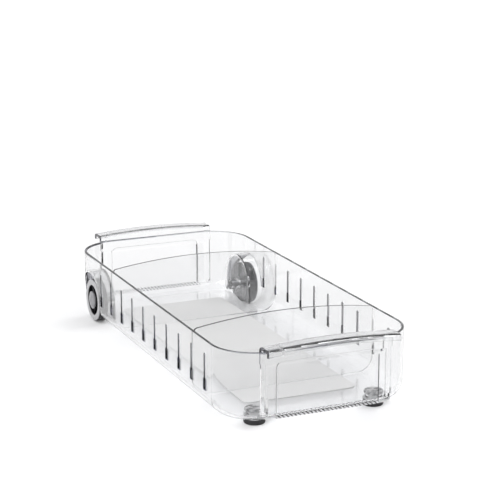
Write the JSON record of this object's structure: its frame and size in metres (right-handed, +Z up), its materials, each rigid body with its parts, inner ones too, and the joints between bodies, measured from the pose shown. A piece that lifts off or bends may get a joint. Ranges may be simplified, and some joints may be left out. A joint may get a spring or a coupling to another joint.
{
  "type": "fridge drawer organizer",
  "caption": "Long clear roll-out drawer for a refrigerator shelf, with pull lips at both ends, slotted side walls, lift-out dividers, rear wheels and front feet.",
  "frame": {"origin": "on the shelf, under the middle of the tray", "axes": "+X to the right, +Y from the front pull lip to the back, +Z up"},
  "size_m": [0.1522, 0.3714, 0.0655],
  "materials": {
    "clear_plastic": "clear gloss",
    "liner": "matt",
    "wheel_grey": "satin",
    "cap_grey": "satin",
    "dark_rubber": "matt",
    "pin_steel": "brushed"
  },
  "bodies": {
    "tray": {"bin_body": "clear_plastic", "liner_mat": "liner", "left_axle": "pin_steel", "right_axle": "pin_steel", "left_foot_pad": "dark_rubber", "right_foot_pad": "dark_rubber", "left_foot_plug": "cap_grey", "right_foot_plug": "cap_grey"},
    "left_wheel": {"left_tyre": "dark_rubber", "left_wheel_core": "wheel_grey", "left_hub_cap": "cap_grey"},
    "right_wheel": {"right_tyre": "dark_rubber", "right_wheel_core": "wheel_grey", "right_hub_cap": "cap_grey"},
    "front_divider_body": {"front_divider": "clear_plastic"},
    "rear_divider_body": {"rear_divider": "clear_plastic"}
  },
  "joints": [
    {"name": "left_wheel_spin", "type": "hinge", "parent": "tray", "child": "left_wheel", "pos_m": [-0.0693, 0.13135, 0.0182], "axis": [1, 0, 0], "continuous": true},
    {"name": "right_wheel_spin", "type": "hinge", "parent": "tray", "child": "right_wheel", "pos_m": [0.0693, 0.13135, 0.0182], "axis": [1, 0, 0], "continuous": true},
    {"name": "front_divider_lift", "type": "slide", "parent": "tray", "child": "front_divider_body", "axis": [0, 0, 1], "range_m": [0, 0.02]},
    {"name": "rear_divider_lift", "type": "slide", "parent": "tray", "child": "rear_divider_body", "axis": [0, 0, 1], "range_m": [0, 0.02]}
  ]
}
